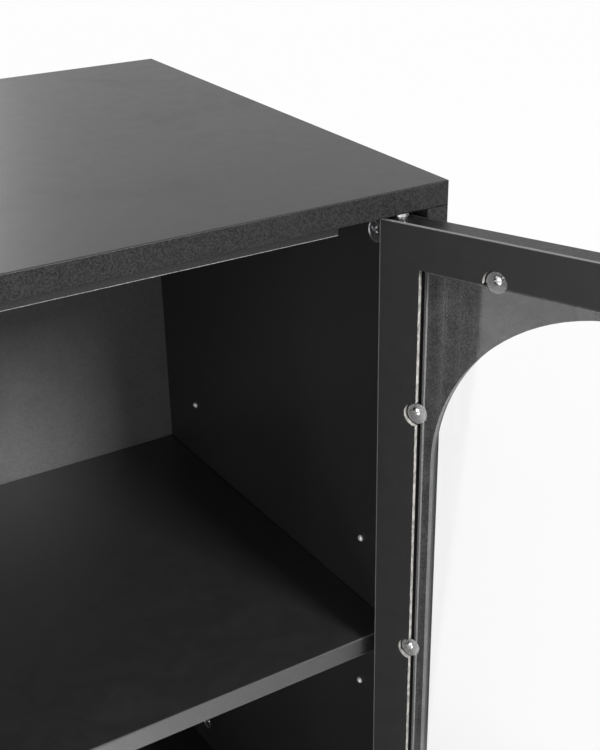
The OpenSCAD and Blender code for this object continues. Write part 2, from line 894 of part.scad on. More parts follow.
// Hangs its children in a bay: side is -1 for a door hinged at the left of the bay that
// starts at x, and 1 for one hinged at its right
module hang(x, side, open) {
    translate([x + bay_w / 2 + side * (bay_w / 2 - pivot_from_board), pivot_y, door_z])
        rotate([0, 0, side * open]) scale([-side, 1, 1])
            translate([-pivot_inset, 0, 0]) children();
}

// Outline of the window: straight sides with a half-round head
module window_outline() {
    translate([window_margin, window_margin]) square([window_w, window_h - window_r]);
    translate([door_w / 2, door_h - window_margin - window_r]) circle(window_r, $fn = 180);
}

module door_panel() {
    color(board_black) difference() {
        translate([0, -door_t / 2, 0]) eased_board([door_w, door_t, door_h]);
        translate([0, rebate_floor + over, 0]) rotate([90, 0, 0])
            linear_extrude(door_t) window_outline();
        translate([rebate_inset, rebate_floor, rebate_inset])
            cube([door_w - 2 * rebate_inset, rebate_depth + over, door_h - 2 * rebate_inset]);
        for (place = clip_places) {
            translate([place[0], glass_top, place[1]])
                along_y(clip_pocket_d, inner_face - glass_top + over);
            shift = clip_screw_shift(place[2]);
            translate([place[0] + shift[0], clip_seat - clip_screw_len - bore_end_gap,
                       place[1] + shift[1]])
                along_y(clip_screw_d + 2 * seat_play, clip_screw_len);
        }
        for (z = [-over, door_h - pivot_set - bore_end_gap]) {
            translate([pivot_inset, 0, z])
                cylinder(d = pivot_d + 2 * seat_play, h = pivot_set + bore_end_gap + over);
        }
        translate([knob_x, -door_t / 2 - over, knob_z])
            along_y(knob_screw_d + 2 * hole_play, door_t + 2 * over);
        translate([door_w - strike_from_edge, inner_face + strike_t - strike_screw_len - bore_end_gap,
                   strike_screw_z])
            along_y(clip_screw_d + 2 * seat_play, strike_screw_len + bore_end_gap);
    }
}

// Section of the glass across one of its edges, with its four arrises ground
module glass_section(w) {
    polygon([
        [glass_arris, 0], [w - glass_arris, 0], [w, glass_arris], [w, glass_t - glass_arris],
        [w - glass_arris, glass_t], [glass_arris, glass_t], [0, glass_t - glass_arris],
        [0, glass_arris]
    ]);
}

module door_glass() {
    color(glass_tint) translate([rebate_inset + glass_gap, rebate_floor, rebate_inset + glass_gap])
        intersection() {
            linear_extrude(glass_h) glass_section(glass_w);
            translate([glass_w, 0, 0]) rotate([0, -90, 0])
                linear_extrude(glass_w) glass_section(glass_h);
        }
}

// Clear disc that holds the edge of the glass. The hole for its screw lies off its
// middle, over the frame of the door.
module glass_clip(turn) {
    shift = clip_screw_shift(turn);
    rotate([-90, 0, 0]) difference() {
        crowned_disc(clip_d, clip_t, clip_crown);
        translate([shift[0], -shift[1], 0]) {
            translate([0, 0, -over]) cylinder(d = clip_hole_d, h = clip_t + 2 * over);
            translate([0, 0, clip_t - clip_sink])
                cylinder(d = clip_head_d + 2 * hole_play, h = clip_sink + over);
        }
    }
}

module door_clips() {
    color(clear_plastic) for (place = clip_places) {
        translate([place[0], glass_top, place[1]]) glass_clip(place[2]);
    }
}

// Screws of a door: one in each clip, one in the strike plate and one in the knob
module door_screws() {
    color(bright_metal) {
        for (place = clip_places) {
            shift = clip_screw_shift(place[2]);
            translate([place[0] + shift[0], clip_seat, place[1] + shift[1]])
                rotate([-90, 0, 0])
                    pan_screw(clip_screw_d, clip_screw_len, clip_head_d, clip_head_h);
        }
        translate([door_w - strike_from_edge, inner_face + strike_t, strike_screw_z])
            rotate([-90, 0, 0])
                pan_screw(clip_screw_d, strike_screw_len, clip_head_d, clip_head_h);
        translate([knob_x, inner_face, knob_z]) rotate([-90, 0, 0])
            pan_screw(knob_screw_d, door_t + knob_thread, knob_screw_head_d, knob_screw_head_h);
    }
}

module door_pivots() {
    color(bright_metal) translate([pivot_inset, 0, 0]) {
        translate([0, 0, door_h]) pivot_pin();
        mirror([0, 0, 1]) pivot_pin();
    }
}

// Section of the knob from its axis: foot, waist and crowned head
module knob_section() {
    waist_r = knob_neck_d / 2;
    head_z = knob_reach - knob_head_t;
    square([knob_base_d / 2, knob_base_t]);
    square([waist_r, head_z + over]);
    difference() {
        square([waist_r + knob_fillet, head_z + over]);
        translate([waist_r + knob_fillet, 0])
            square([knob_fillet + over, head_z - knob_fillet]);
        square([waist_r + knob_fillet + over, head_z - knob_fillet]);
        translate([waist_r + knob_fillet, head_z - knob_fillet]) circle(knob_fillet);
    }
    intersection() {
        translate([-knob_d / 2, head_z]) round_rect(knob_d, knob_head_t, knob_rim_r);
        translate([0, knob_reach - knob_dome_r]) circle(knob_dome_r, $fn = 180);
        translate([0, head_z]) square([knob_d / 2, knob_head_t]);
    }
}

module door_knob() {
    color(metal_black) translate([knob_x, -door_t / 2, knob_z]) rotate([90, 0, 0]) difference() {
        rotate_extrude() knob_section();
        translate([0, 0, -over])
            cylinder(d = knob_screw_d + 2 * seat_play, h = knob_thread + bore_end_gap + over);
    }
}

module door_strike() {
    color(bright_metal) difference() {
        translate([door_w - strike_from_edge - strike_w / 2, inner_face + strike_t, strike_z])
            rotate([90, 0, 0]) linear_extrude(strike_t) round_rect(strike_w, strike_h, strike_r);
        translate([door_w - strike_from_edge, inner_face - over, strike_screw_z])
            along_y(clip_screw_d + 2 * hole_play, strike_t + 2 * over);
    }
}

module hang_left_outer() {
    hang(left_bay_x, -1, others_open) children();
}

module hang_left_inner() {
    hang(left_bay_x, 1, others_open) children();
}

module hang_right_inner() {
    hang(right_bay_x, -1, others_open) children();
}

module hang_right_outer() {
    hang(right_bay_x, 1, right_outer_open) children();
}

module left_outer_door() {
    hang_left_outer() door_panel();
}

module left_outer_glass() {
    hang_left_outer() door_glass();
}

module left_outer_clips() {
    hang_left_outer() door_clips();
}

module left_outer_screws() {
    hang_left_outer() door_screws();
}

module left_outer_pivots() {
    hang_left_outer() door_pivots();
}

module left_outer_knob() {
    hang_left_outer() door_knob();
}

module left_outer_strike() {
    hang_left_outer() door_strike();
}

module left_inner_door() {
    hang_left_inner() door_panel();
}

module left_inner_glass() {
    hang_left_inner() door_glass();
}

module left_inner_clips() {
    hang_left_inner() door_clips();
}

module left_inner_screws() {
    hang_left_inner() door_screws();
}

module left_inner_pivots() {
    hang_left_inner() door_pivots();
}

module left_inner_knob() {
    hang_left_inner() door_knob();
}

module left_inner_strike() {
    hang_left_inner() door_strike();
}

module right_inner_door() {
    hang_right_inner() door_panel();
}

module right_inner_glass() {
    hang_right_inner() door_glass();
}

module right_inner_clips() {
    hang_right_inner() door_clips();
}

module right_inner_screws() {
    hang_right_inner() door_screws();
}

module right_inner_pivots() {
    hang_right_inner() door_pivots();
}

module right_inner_knob() {
    hang_right_inner() door_knob();
}

module right_inner_strike() {
    hang_right_inner() door_strike();
}

module right_outer_door() {
    hang_right_outer() door_panel();
}

module right_outer_glass() {
    hang_right_outer() door_glass();
}

module right_outer_clips() {
    hang_right_outer() door_clips();
}

module right_outer_screws() {
    hang_right_outer() door_screws();
}

module right_outer_pivots() {
    hang_right_outer() door_pivots();
}

module right_outer_knob() {
    hang_right_outer() door_knob();
}

module right_outer_strike() {
    hang_right_outer() door_strike();
}

top_board();
bottom_board();
left_side();
right_side();
divider();
left_back();
right_back();
left_shelf();
right_shelf();
shelf_pins();
cam_locks();
cam_bolts();
dowels();
left_stop_rail();
right_stop_rail();
rail_screws();
left_catch();
right_catch();
catch_magnets();
catch_screws();
pivot_bushes();
front_left_leg();
front_right_leg();
rear_left_leg();
rear_right_leg();
centre_leg();
leg_glides();
leg_screws();
left_outer_door();
left_outer_glass();
left_outer_clips();
left_outer_screws();
left_outer_pivots();
left_outer_knob();
left_outer_strike();
left_inner_door();
left_inner_glass();
left_inner_clips();
left_inner_screws();
left_inner_pivots();
left_inner_knob();
left_inner_strike();
right_inner_door();
right_inner_glass();
right_inner_clips();
right_inner_screws();
right_inner_pivots();
right_inner_knob();
right_inner_strike();
right_outer_door();
right_outer_glass();
right_outer_clips();
right_outer_screws();
right_outer_pivots();
right_outer_knob();
right_outer_strike();
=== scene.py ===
"""Dresses the media cabinet: painted boards, glazed doors, fittings, and the studio round it.

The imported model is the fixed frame. Its nodes keep their shapes and get their finishes
here. New panes with ground edges stand for its plain ones. The shelves get end bands, the
cam locks get rims, and small caps close the pin holes that no shelf pin uses.
"""
import json
import math

import bmesh
import bpy
from bpy.props import FloatProperty, FloatVectorProperty, PointerProperty
from mathutils import Matrix, Vector


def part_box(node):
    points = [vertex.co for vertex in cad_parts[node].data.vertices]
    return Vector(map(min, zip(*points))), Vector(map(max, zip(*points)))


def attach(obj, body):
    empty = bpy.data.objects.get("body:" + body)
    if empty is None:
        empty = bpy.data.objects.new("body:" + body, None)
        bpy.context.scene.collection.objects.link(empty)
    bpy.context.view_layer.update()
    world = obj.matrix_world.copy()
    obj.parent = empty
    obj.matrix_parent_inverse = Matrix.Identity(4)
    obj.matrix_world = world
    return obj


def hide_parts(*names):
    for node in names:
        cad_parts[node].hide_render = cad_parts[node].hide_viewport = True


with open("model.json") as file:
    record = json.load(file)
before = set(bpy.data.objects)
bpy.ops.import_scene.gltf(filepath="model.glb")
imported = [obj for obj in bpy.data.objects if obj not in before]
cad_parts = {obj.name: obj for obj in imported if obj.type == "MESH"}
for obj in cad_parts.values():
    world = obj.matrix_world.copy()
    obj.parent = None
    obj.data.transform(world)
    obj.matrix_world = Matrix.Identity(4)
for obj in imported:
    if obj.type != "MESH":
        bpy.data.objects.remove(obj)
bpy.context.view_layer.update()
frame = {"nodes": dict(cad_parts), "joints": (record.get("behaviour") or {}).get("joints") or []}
NODES = frame["nodes"]
MM = 0.001

bl_info = {
    "name": "Media cabinet looks",
    "version": (1, 0, 0),
    "blender": (4, 5, 0),
    "location": "3D View > Sidebar > Cabinet",
    "description": "Finishes, small fittings and studio for a cabinet with glazed doors",
    "category": "Object",
}

DOORS = ("left_outer", "left_inner", "right_inner", "right_outer")
# Board nodes with the axis of their thickness
BOARDS = {
    "top_board": (0, 0, 1), "bottom_board": (0, 0, 1),
    "left_side": (1, 0, 0), "right_side": (1, 0, 0), "divider": (1, 0, 0),
    "left_shelf": (0, 0, 1), "right_shelf": (0, 0, 1),
}

# Where a mask on a board starts and ends its change: depths below the nearest face, the
# narrow edges and the broad faces, and the distance from an arris
CORE_DEPTHS = (0.35 * MM, 0.6 * MM)
EDGE_DEPTHS = (0.2 * MM, 0.45 * MM)
FACE_DEPTHS = (0.15 * MM, 0.7 * MM)
ARRIS_DEPTHS = (0.4 * MM, 1.15 * MM)
# The same in from a door's narrow edges, at its rebate and at the jamb of its window
REBATE_INSETS = (10.0 * MM, 12.0 * MM)
WINDOW_INSETS = (30.0 * MM, 33.0 * MM)
# The same in millimetres from the middle of a door's thickness towards its glass. The band
# is round the rebate's floor.
# Below the bare wall's foot the routed wall beside the glass keeps the dark paint, a painted
# shade of the narrow gap between glass and wall
PAINTED_GAP_SHADE_TOP = (3.6, 3.9)
BARE_WALL_TOP = (7.1, 7.3)
REBATE_FLOOR = -0.5
REBATE_FLOOR_BAND = (0.03, 0.06)
RUBBED_JAMB_TOP = (-0.56, -0.53)
RUBBED_JAMB_FOOT = (-5.3, -4.9)

# Darkest and lightest share of the paint's colour, on faces, on the rougher edges and in
# the thin coat on a rebate's floor
FACE_SHARES = (0.84, 1.19)
EDGE_SHARES = (0.18, 1.3)
THIN_COAT_SHARES = (0.3, 5.0)
# Grey of the paint where it is rubbed in a window's jamb, and where an arris has worn, which
# also stands in as a painted highlight along the arris
RUBBED_GREYS = (0.07, 0.20)
WORN_HIGHLIGHT_GREY = 0.30
PAINT_IOR = 1.5
SHELF_PAINT_IOR = 1.62

# Lamps: the setting of their power, their place, their target, their width and height
LAMPS = {
    "key_lamp": ("key_light", (0.95, -2.0, 1.9), (0.45, 0.0, 0.5), (0.5, 0.5)),
    "side_lamp": ("side_light", (-1.2, -1.2, 0.9), (0.6, 0.0, 0.6), (0.8, 0.8)),
    "bounce_card": ("bounce_light", (0.22, -0.65, 0.03), (0.22, -0.65, 1.0), (0.8, 0.4)),
    "sheen_lamp": ("sheen_light", (0.55, 2.6, 1.5), (0.5, 0.0, 0.8), (1.2, 0.6)),
    "fill_lamp": ("fill_light", (0.3, -1.1, 2.4), (0.3, 0.0, 0.5), (0.9, 0.9)),
}


# ---- Settings ----

class CabinetFinish(bpy.types.PropertyGroup):
    paint_colour: FloatVectorProperty(
        name="Paint colour", description="Colour of the painted boards",
        default=(0.019, 0.019, 0.019), min=0.0, max=1.0, subtype="COLOR")
    paint_gloss: FloatProperty(
        name="Paint gloss", description="Strength of the reflections on the painted faces",
        default=0.26, min=0.0, max=1.0, subtype="FACTOR")
    shelf_gloss: FloatProperty(
        name="Shelf gloss", description="Strength of the reflections on the shelves",
        default=0.95, min=0.0, max=1.0, subtype="FACTOR")
    # The lifts draw the same paint lighter on the sides and darker on the shelves: painted light
    # and painted shade
    upright_painted_light: FloatProperty(
        name="Upright lift", description="Brightness of the sides' paint against the rest",
        default=1.14, min=0.5, max=3.0, subtype="FACTOR")
    shelf_painted_shade: FloatProperty(
        name="Shelf lift", description="Brightness of the shelves' paint against the rest",
        default=0.68, min=0.5, max=3.0, subtype="FACTOR")
    paint_roughness: FloatProperty(
        name="Paint roughness", description="Roughness of the painted faces",
        default=0.40, min=0.05, max=1.0, subtype="FACTOR")
    paint_grain: FloatProperty(
        name="Paint grain", description="Width of one grain of the paint's fine texture",
        default=0.0011, min=0.0002, max=0.01, unit="LENGTH")
    back_colour: FloatVectorProperty(
        name="Back panel colour", description="Colour of the hardboard back panels",
        default=(0.108, 0.108, 0.108), min=0.0, max=1.0, subtype="COLOR")
    steel_colour: FloatVectorProperty(
        name="Steel colour", description="Colour of the zinc-plated fittings",
        default=(0.72, 0.72, 0.72), min=0.0, max=1.0, subtype="COLOR")
    # The doors' light arrises are partly worn paint and partly a painted highlight of the
    # rounded arris
    edge_wear_and_highlight: FloatProperty(
        name="Edge wear", description="How light the paint has rubbed along the doors' arrises",
        default=0.75, min=0.0, max=1.0, subtype="FACTOR")
    raw_colour: FloatVectorProperty(
        name="Raw board colour", description="Colour of the board in bores and routed walls",
        default=(0.52, 0.505, 0.48), min=0.0, max=1.0, subtype="COLOR")


class CabinetStudio(bpy.types.PropertyGroup):
    camera_place: FloatVectorProperty(
        name="Camera place", description="Where the camera stands, from the cabinet's origin",
        default=(0.20643, -0.77186, 1.0268), subtype="TRANSLATION", unit="LENGTH")
    camera_turn: FloatVectorProperty(
        name="Camera turn", description="Tilt, roll and heading of the camera",
        default=(math.radians(62.10), 0.0, math.radians(-33.70)), subtype="EULER",
        unit="ROTATION")
    camera_lens: FloatProperty(
        name="Lens", description="Focal length of the camera",
        default=62.2, min=10.0, max=300.0, unit="CAMERA")
    camera_shift: FloatVectorProperty(
        name="Lens shift", description="Shift of the picture to the right and up",
        default=(-0.0613, 0.0667), size=2)
    sky_light: FloatProperty(
        name="Sky light", description="Strength of the even light from all round",
        default=0.06, min=0.0, max=5.0)
    key_light: FloatProperty(
        name="Key light", description="Power of the soft lamp high in front",
        default=67.0, min=0.0, unit="POWER")
    side_light: FloatProperty(
        name="Side light", description="Power of the large soft lamp at the left",
        default=14.5, min=0.0, unit="POWER")
    bounce_light: FloatProperty(
        name="Bounce light", description="Power of the low card in front of the cabinet",
        default=2.2, min=0.0, unit="POWER")
    sheen_light: FloatProperty(
        name="Sheen light", description="Power of the wide lamp behind, seen in the top",
        default=25.5, min=0.0, unit="POWER")
    fill_light: FloatProperty(
        name="Fill light", description="Power of the wide lamp high over the open bay",
        default=3.0, min=0.0, unit="POWER")


# ---- Building materials ----

def fill(tree, node, values):
    """Links a node's inputs to the sockets given for them, or sets their values."""
    for key, value in values.items():
        if isinstance(value, bpy.types.NodeSocket):
            tree.links.new(value, node.inputs[key])
        else:
            node.inputs[key].default_value = value
    return node


def add(tree, kind, values=None, **settings):
    """Adds a shader node with its settings, and fills its inputs."""
    made = tree.nodes.new(kind)
    for name, value in settings.items():
        setattr(made, name, value)
    return fill(tree, made, values or {})


def calc(tree, operation, *values, clamp=False):
    """Result of a Math node."""
    return add(tree, "ShaderNodeMath", dict(enumerate(values)),
               operation=operation, use_clamp=clamp).outputs[0]


def calc_vector(tree, operation, first, second, result="Vector"):
    """Result of a Vector Math node."""
    return add(tree, "ShaderNodeVectorMath", {0: first, 1: second},
               operation=operation).outputs[result]


def raised(tree, base, value, share, clamp=False):
    """The base with a share of the value added."""
    return calc(tree, "ADD", base, calc(tree, "MULTIPLY", value, share), clamp=clamp)


def weighed(tree, first, share, second):
    """A share of the first value and the rest of the second."""
    return raised(tree, calc(tree, "MULTIPLY", first, share), second, 1 - share)


def step(tree, value, low, high, rising=True):
    """0 below low and 1 above high, with a smooth change between, or the reverse."""
    start, end = (0.0, 1.0) if rising else (1.0, 0.0)
    return add(tree, "ShaderNodeMapRange",
               {"Value": value, "From Min": low, "From Max": high,
                "To Min": start, "To Max": end},
               interpolation_type="SMOOTHSTEP").outputs["Result"]


def components(tree, vector):
    """X, Y and Z of a vector."""
    return add(tree, "ShaderNodeSeparateXYZ", {0: vector}).outputs


def least_component(tree, vector):
    """The least of a vector's X, Y and Z."""
    x, y, z = components(tree, vector)
    return calc(tree, "MINIMUM", x, calc(tree, "MINIMUM", y, z))


def object_point(tree):
    """The surface's point in the cabinet's frame."""
    return add(tree, "ShaderNodeTexCoord").outputs["Object"]


def drawn_out(tree, point, scale):
    """The point with its axes scaled: a texture is longest along the smallest scale."""
    return add(tree, "ShaderNodeMapping", {"Vector": point, "Scale": scale}).outputs[0]


def noise(tree, point, scale, detail=2.0, roughness=0.5):
    """Noise value round 0.5 at the point."""
    return add(tree, "ShaderNodeTexNoise",
               {"Vector": point, "Scale": scale, "Detail": detail,
                "Roughness": roughness}).outputs["Fac"]


def grey(value):
    """Opaque grey."""
    return (value, value, value, 1.0)


def shade(colour, share=1.0):
    """Opaque colour, lightened or darkened by the share."""
    return (*(share * part for part in colour), 1.0)


def blend_colours(tree, factor, first, second, blend_type="MIX"):
    """Colour of a Mix node in colour mode."""
    return add(tree, "ShaderNodeMix", {0: factor, 6: first, 7: second},
               data_type="RGBA", blend_type=blend_type).outputs[2]


def relief(tree, height, strength, distance):
    """Normal of a surface with this relief."""
    return add(tree, "ShaderNodeBump", {"Height": height, "Strength": strength,
                                        "Distance": distance}).outputs[0]


def new_material(name):
    """Material with an empty tree; gives the material, its tree and its output node."""
    material = bpy.data.materials.new(name)
    material.use_nodes = True
    tree = material.node_tree
    tree.nodes.clear()
    return material, tree, tree.nodes.new("ShaderNodeOutputMaterial")


def principled(tree, output, values):
    """Makes a Principled shader with these inputs the surface."""
    shader = add(tree, "ShaderNodeBsdfPrincipled", values)
    fill(tree, output, {"Surface": shader.outputs[0]})


def mix_shaders(tree, output, share, first, second):
    """Makes a mix of two shaders the surface, with this share of the second."""
    mixed = add(tree, "ShaderNodeMixShader",
                {0: share, 1: first.outputs[0], 2: second.outputs[0]})
    fill(tree, output, {"Surface": mixed.outputs[0]})


def let_lamps_through(tree, output, shader, share):
    """Makes the shader the surface, but clears it for shadow and diffuse rays, so that
    this share of the lamps' light reaches what is behind."""
    clear = add(tree, "ShaderNodeBsdfTransparent", {"Color": grey(share)})
    path = add(tree, "ShaderNodeLightPath").outputs
    lamps = calc(tree, "MAXIMUM", path["Is Shadow Ray"], path["Is Diffuse Ray"])
    mix_shaders(tree, output, lamps, shader, clear)


def new_group(name, inputs, outputs):
    """Empty shader group; gives the group, its input sockets and its output node."""
    group = bpy.data.node_groups.new(name, "ShaderNodeTree")
    for label, kind, default in inputs:
        made = group.interface.new_socket(label, in_out="INPUT", socket_type="NodeSocket" + kind)
        made.default_value = default
    for label, kind in outputs:
        group.interface.new_socket(label, in_out="OUTPUT", socket_type="NodeSocket" + kind)
    given = group.nodes.new("NodeGroupInput").outputs
    return group, given, group.nodes.new("NodeGroupOutput")


def place_group(tree, name, values):
    """Outputs of a shared group placed in a tree. It is built on its first use."""
    group = bpy.data.node_groups.get(name) or SHARED_EFFECTS[name](name)
    return add(tree, "ShaderNodeGroup", values, node_tree=group).outputs


# ---- Effects that several finishes share ----

def board_zones(name):
    """Masks for a board: its bored or grooved core, its narrow edges and its arrises, and
    how far the surface lies inside those edges."""
    group, given, result = new_group(
        name,
        [("Point", "Vector", (0, 0, 0)), ("Low corner", "Vector", (0, 0, 0)),
         ("High corner", "Vector", (1, 1, 1)), ("Thin axis", "Vector", (0, 0, 1))],
        [("Core", "Float"), ("Edge", "Float"), ("Arris", "Float"), ("Inset", "Float")])
    depth = calc_vector(group, "MINIMUM",
                        calc_vector(group, "SUBTRACT", given["Point"], given["Low corner"]),
                        calc_vector(group, "SUBTRACT", given["High corner"], given["Point"]))
    x, y, z = components(group, depth)
    next_least = calc(group, "MAXIMUM", calc(group, "MINIMUM", x, y),
                      calc(group, "MINIMUM", calc(group, "MAXIMUM", x, y), z))
    thin_depth = calc_vector(group, "DOT_PRODUCT", depth, given["Thin axis"], "Value")
    # The thickness is made to count as metres deep, so the least depth is the edges'
    away = calc_vector(group, "MULTIPLY", given["Thin axis"], (10.0, 10.0, 10.0))
    inset = least_component(group, calc_vector(group, "ADD", depth, away))
    fill(group, result, {
        "Core": step(group, least_component(group, depth), *CORE_DEPTHS),
        "Edge": calc(group, "MULTIPLY", step(group, inset, *EDGE_DEPTHS, rising=False),
                     step(group, thin_depth, *FACE_DEPTHS)),
        "Arris": step(group, next_least, *ARRIS_DEPTHS, rising=False),
        "Inset": inset})
    return group


def paint_grain(name):
    """Fine stipple of sprayed paint over a slow orange peel."""
    group, given, result = new_group(
        name,
        [("Point", "Vector", (0, 0, 0)), ("Grain", "Float", 1000.0)],
        [("Height", "Float"), ("Tone", "Float"), ("Fleck", "Float"), ("Mottle", "Float")])
    point, grains = given["Point"], given["Grain"]
    fine = noise(group, point, grains, detail=3.0, roughness=0.65)
    slow = noise(group, point, calc(group, "MULTIPLY", grains, 0.22))
    cloud = noise(group, point, 9.0, detail=3.0)
    blotches = noise(group, point, 80.0, detail=5.0, roughness=0.7)
    fill(group, result, {
        "Height": weighed(group, fine, 0.65, slow),
        "Tone": weighed(group, fine, 0.4, cloud),
        "Fleck": step(group, fine, 0.36, 0.66),
        "Mottle": step(group, blotches, 0.26, 0.74)})
    return group


def raw_board(name):
    """Colour of bare board: pressed chips with dark patches between them."""
    group, given, result = new_group(
        name,
        [("Point", "Vector", (0, 0, 0)), ("Colour", "Color", (0.6, 0.58, 0.55, 1.0))],
        [("Colour", "Color")])
    point, colour = given["Point"], given["Colour"]
    chips = add(group, "ShaderNodeTexVoronoi", {"Vector": point, "Scale": 900.0})
    chip = add(group, "ShaderNodeSeparateColor", {0: chips.outputs["Color"]}).outputs[0]
    patches = step(group, noise(group, point, 180.0, detail=4.0, roughness=0.6), 0.36, 0.62)
    tone = calc(group, "MULTIPLY", raised(group, 0.5, chip, 0.5), patches)
    dark = blend_colours(group, 1.0, colour, grey(0.42), "MULTIPLY")
    fill(group, result, {"Colour": blend_colours(group, tone, dark, colour)})
    return group


def dust(name):
    """Specks and faint handling marks, as a mask."""
    group, given, result = new_group(
        name,
        [("Point", "Vector", (0, 0, 0)), ("Amount", "Float", 0.1)],
        [("Mask", "Float")])
    point = given["Point"]
    specks = step(group, noise(group, point, 420.0, detail=1.0), 0.72, 0.80)
    smears = step(group, noise(group, point, 14.0, detail=4.0, roughness=0.6), 0.52, 0.75)
    both = raised(group, smears, specks, 0.5, clamp=True)
    fill(group, result, {"Mask": calc(group, "MULTIPLY", both, given["Amount"])})
    return group


SHARED_EFFECTS = {
    "Board zones": board_zones,
    "Paint grain": paint_grain,
    "Raw board": raw_board,
    "Dust": dust,
}


# ---- Finishes ----

def routed_zones(tree, own, inset, back):
    """Masks of a door's routed walls above the glass, which show bare board, of its
    rebate's floor, and of the rubbed inner part of its window's jamb. Beside the glass
    the walls keep the dark paint, as painted shade of the narrow gap."""
    depth = calc(tree, "MULTIPLY", components(tree, own)[1], back / MM)
    inside = step(tree, inset, *REBATE_INSETS)
    chipped = raised(tree, depth, noise(tree, own, 450.0), 1.1)
    # Bare board shows only above the glass; beside it the wall keeps dark paint as painted shade
    wall = calc(tree, "MULTIPLY", step(tree, depth, *PAINTED_GAP_SHADE_TOP),
                step(tree, chipped, *BARE_WALL_TOP, rising=False))
    from_floor = calc(tree, "ABSOLUTE", calc(tree, "SUBTRACT", depth, REBATE_FLOOR))
    floor = step(tree, from_floor, *REBATE_FLOOR_BAND, rising=False)
    jamb = calc(tree, "MULTIPLY", step(tree, depth, *RUBBED_JAMB_TOP, rising=False),
                step(tree, depth, *RUBBED_JAMB_FOOT))
    return (calc(tree, "MULTIPLY", wall, inside), calc(tree, "MULTIPLY", floor, inside),
            calc(tree, "MULTIPLY", jamb, step(tree, inset, *WINDOW_INSETS)))


def paint_board_material(name, finish, low, high, thin, local=None, back=0.0, lift=1.0,
                         gloss=None):
    """Satin paint of one board. For a door, local places its own axes in the frame, and back
    is the side of its thickness that the glass lies on. Lift is the paint's brightness
    against the rest, a painted light or painted shade of the board, and a board with its own
    gloss has a smoother and harder paint."""
    material, tree, output = new_material(name)
    routed = local is not None
    point = own = object_point(tree)
    if routed:
        own = add(tree, "ShaderNodeMapping",
                  {"Vector": point, "Location": local.to_translation(),
                   "Rotation": local.to_euler()}, vector_type="TEXTURE").outputs[0]
    zones = place_group(tree, "Board zones",
                        {"Point": own, "Low corner": low, "High corner": high,
                         "Thin axis": thin})
    grain = place_group(tree, "Paint grain", {"Point": point, "Grain": 1 / finish.paint_grain})
    raw = place_group(tree, "Raw board", {"Point": point, "Colour": shade(finish.raw_colour)})
    marks = place_group(tree, "Dust", {"Point": point, "Amount": 1.0})["Mask"]
    core, edge, arris = zones["Core"], zones["Edge"], zones["Arris"]
    tone = weighed(tree, grain["Tone"], 0.55, grain["Mottle"])

    def blend_paint(factor, dark, light):
        return blend_colours(tree, factor, shade(finish.paint_colour, dark * lift),
                             shade(finish.paint_colour, light * lift))

    face = blend_paint(tone, *FACE_SHARES)
    flecked = blend_paint(grain["Fleck"], *EDGE_SHARES)
    paint = blend_colours(tree, edge, face, flecked)
    if routed:
        core, floor, jamb = routed_zones(tree, own, zones["Inset"], back)
        patchy = weighed(tree, grain["Fleck"], 0.6, grain["Mottle"])
        paint = blend_colours(tree, floor, paint, blend_paint(patchy, *THIN_COAT_SHARES))
        rubbed = blend_colours(tree, patchy, *map(grey, RUBBED_GREYS))
        paint = blend_colours(tree, jamb, paint, rubbed)
    # Light arrises: worn paint, and on the doors a painted highlight of the rounded arris
    wear_and_highlight = raised(tree, finish.edge_wear_and_highlight if routed else 0.0, marks, 0.10)
    worn_highlight = calc(tree, "MULTIPLY", arris, wear_and_highlight, clamp=True)
    paint = blend_colours(tree, worn_highlight, paint, grey(WORN_HIGHLIGHT_GREY))

    rough = raised(tree, finish.paint_roughness - 0.045, tone, 0.09)
    rough = raised(tree, rough, marks, 0.04)
    rough = raised(tree, rough, core, 0.45, clamp=True)
    if gloss:
        rough = raised(tree, rough, arris, 0.45, clamp=True)
    height = calc(tree, "MULTIPLY", grain["Height"],
                  raised(tree, 0.10, edge, 1.1 if routed else 0.5))
    principled(tree, output, {
        "Base Color": blend_colours(tree, core, paint, raw["Colour"]), "Roughness": rough,
        "Normal": relief(tree, height, 1.0, 0.25 * MM),
        "Specular IOR Level": gloss or finish.paint_gloss,
        "IOR": SHELF_PAINT_IOR if gloss else PAINT_IOR})
    return material


def hardboard_material(finish):
    """Printed face of the hardboard: fine fibres and flecks under a satin film."""
    material, tree, output = new_material("grey_hardboard")
    point = object_point(tree)
    fibres = noise(tree, drawn_out(tree, point, (0.7, 1.0, 1.0)), 640.0, detail=3.0,
                   roughness=0.7)
    fibre = step(tree, fibres, 0.30, 0.70)
    cloud = step(tree, noise(tree, point, 34.0, detail=5.0, roughness=0.62), 0.25, 0.75)
    marks = place_group(tree, "Dust", {"Point": point, "Amount": 0.06})["Mask"]
    principled(tree, output, {
        "Base Color": blend_colours(tree, weighed(tree, fibre, 0.72, cloud),
                                    shade(finish.back_colour, 0.80),
                                    shade(finish.back_colour, 1.22)),
        "Roughness": calc(tree, "ADD", raised(tree, 0.44, fibre, 0.14), marks),
        "Normal": relief(tree, fibre, 0.3, 0.10 * MM)})
    return material


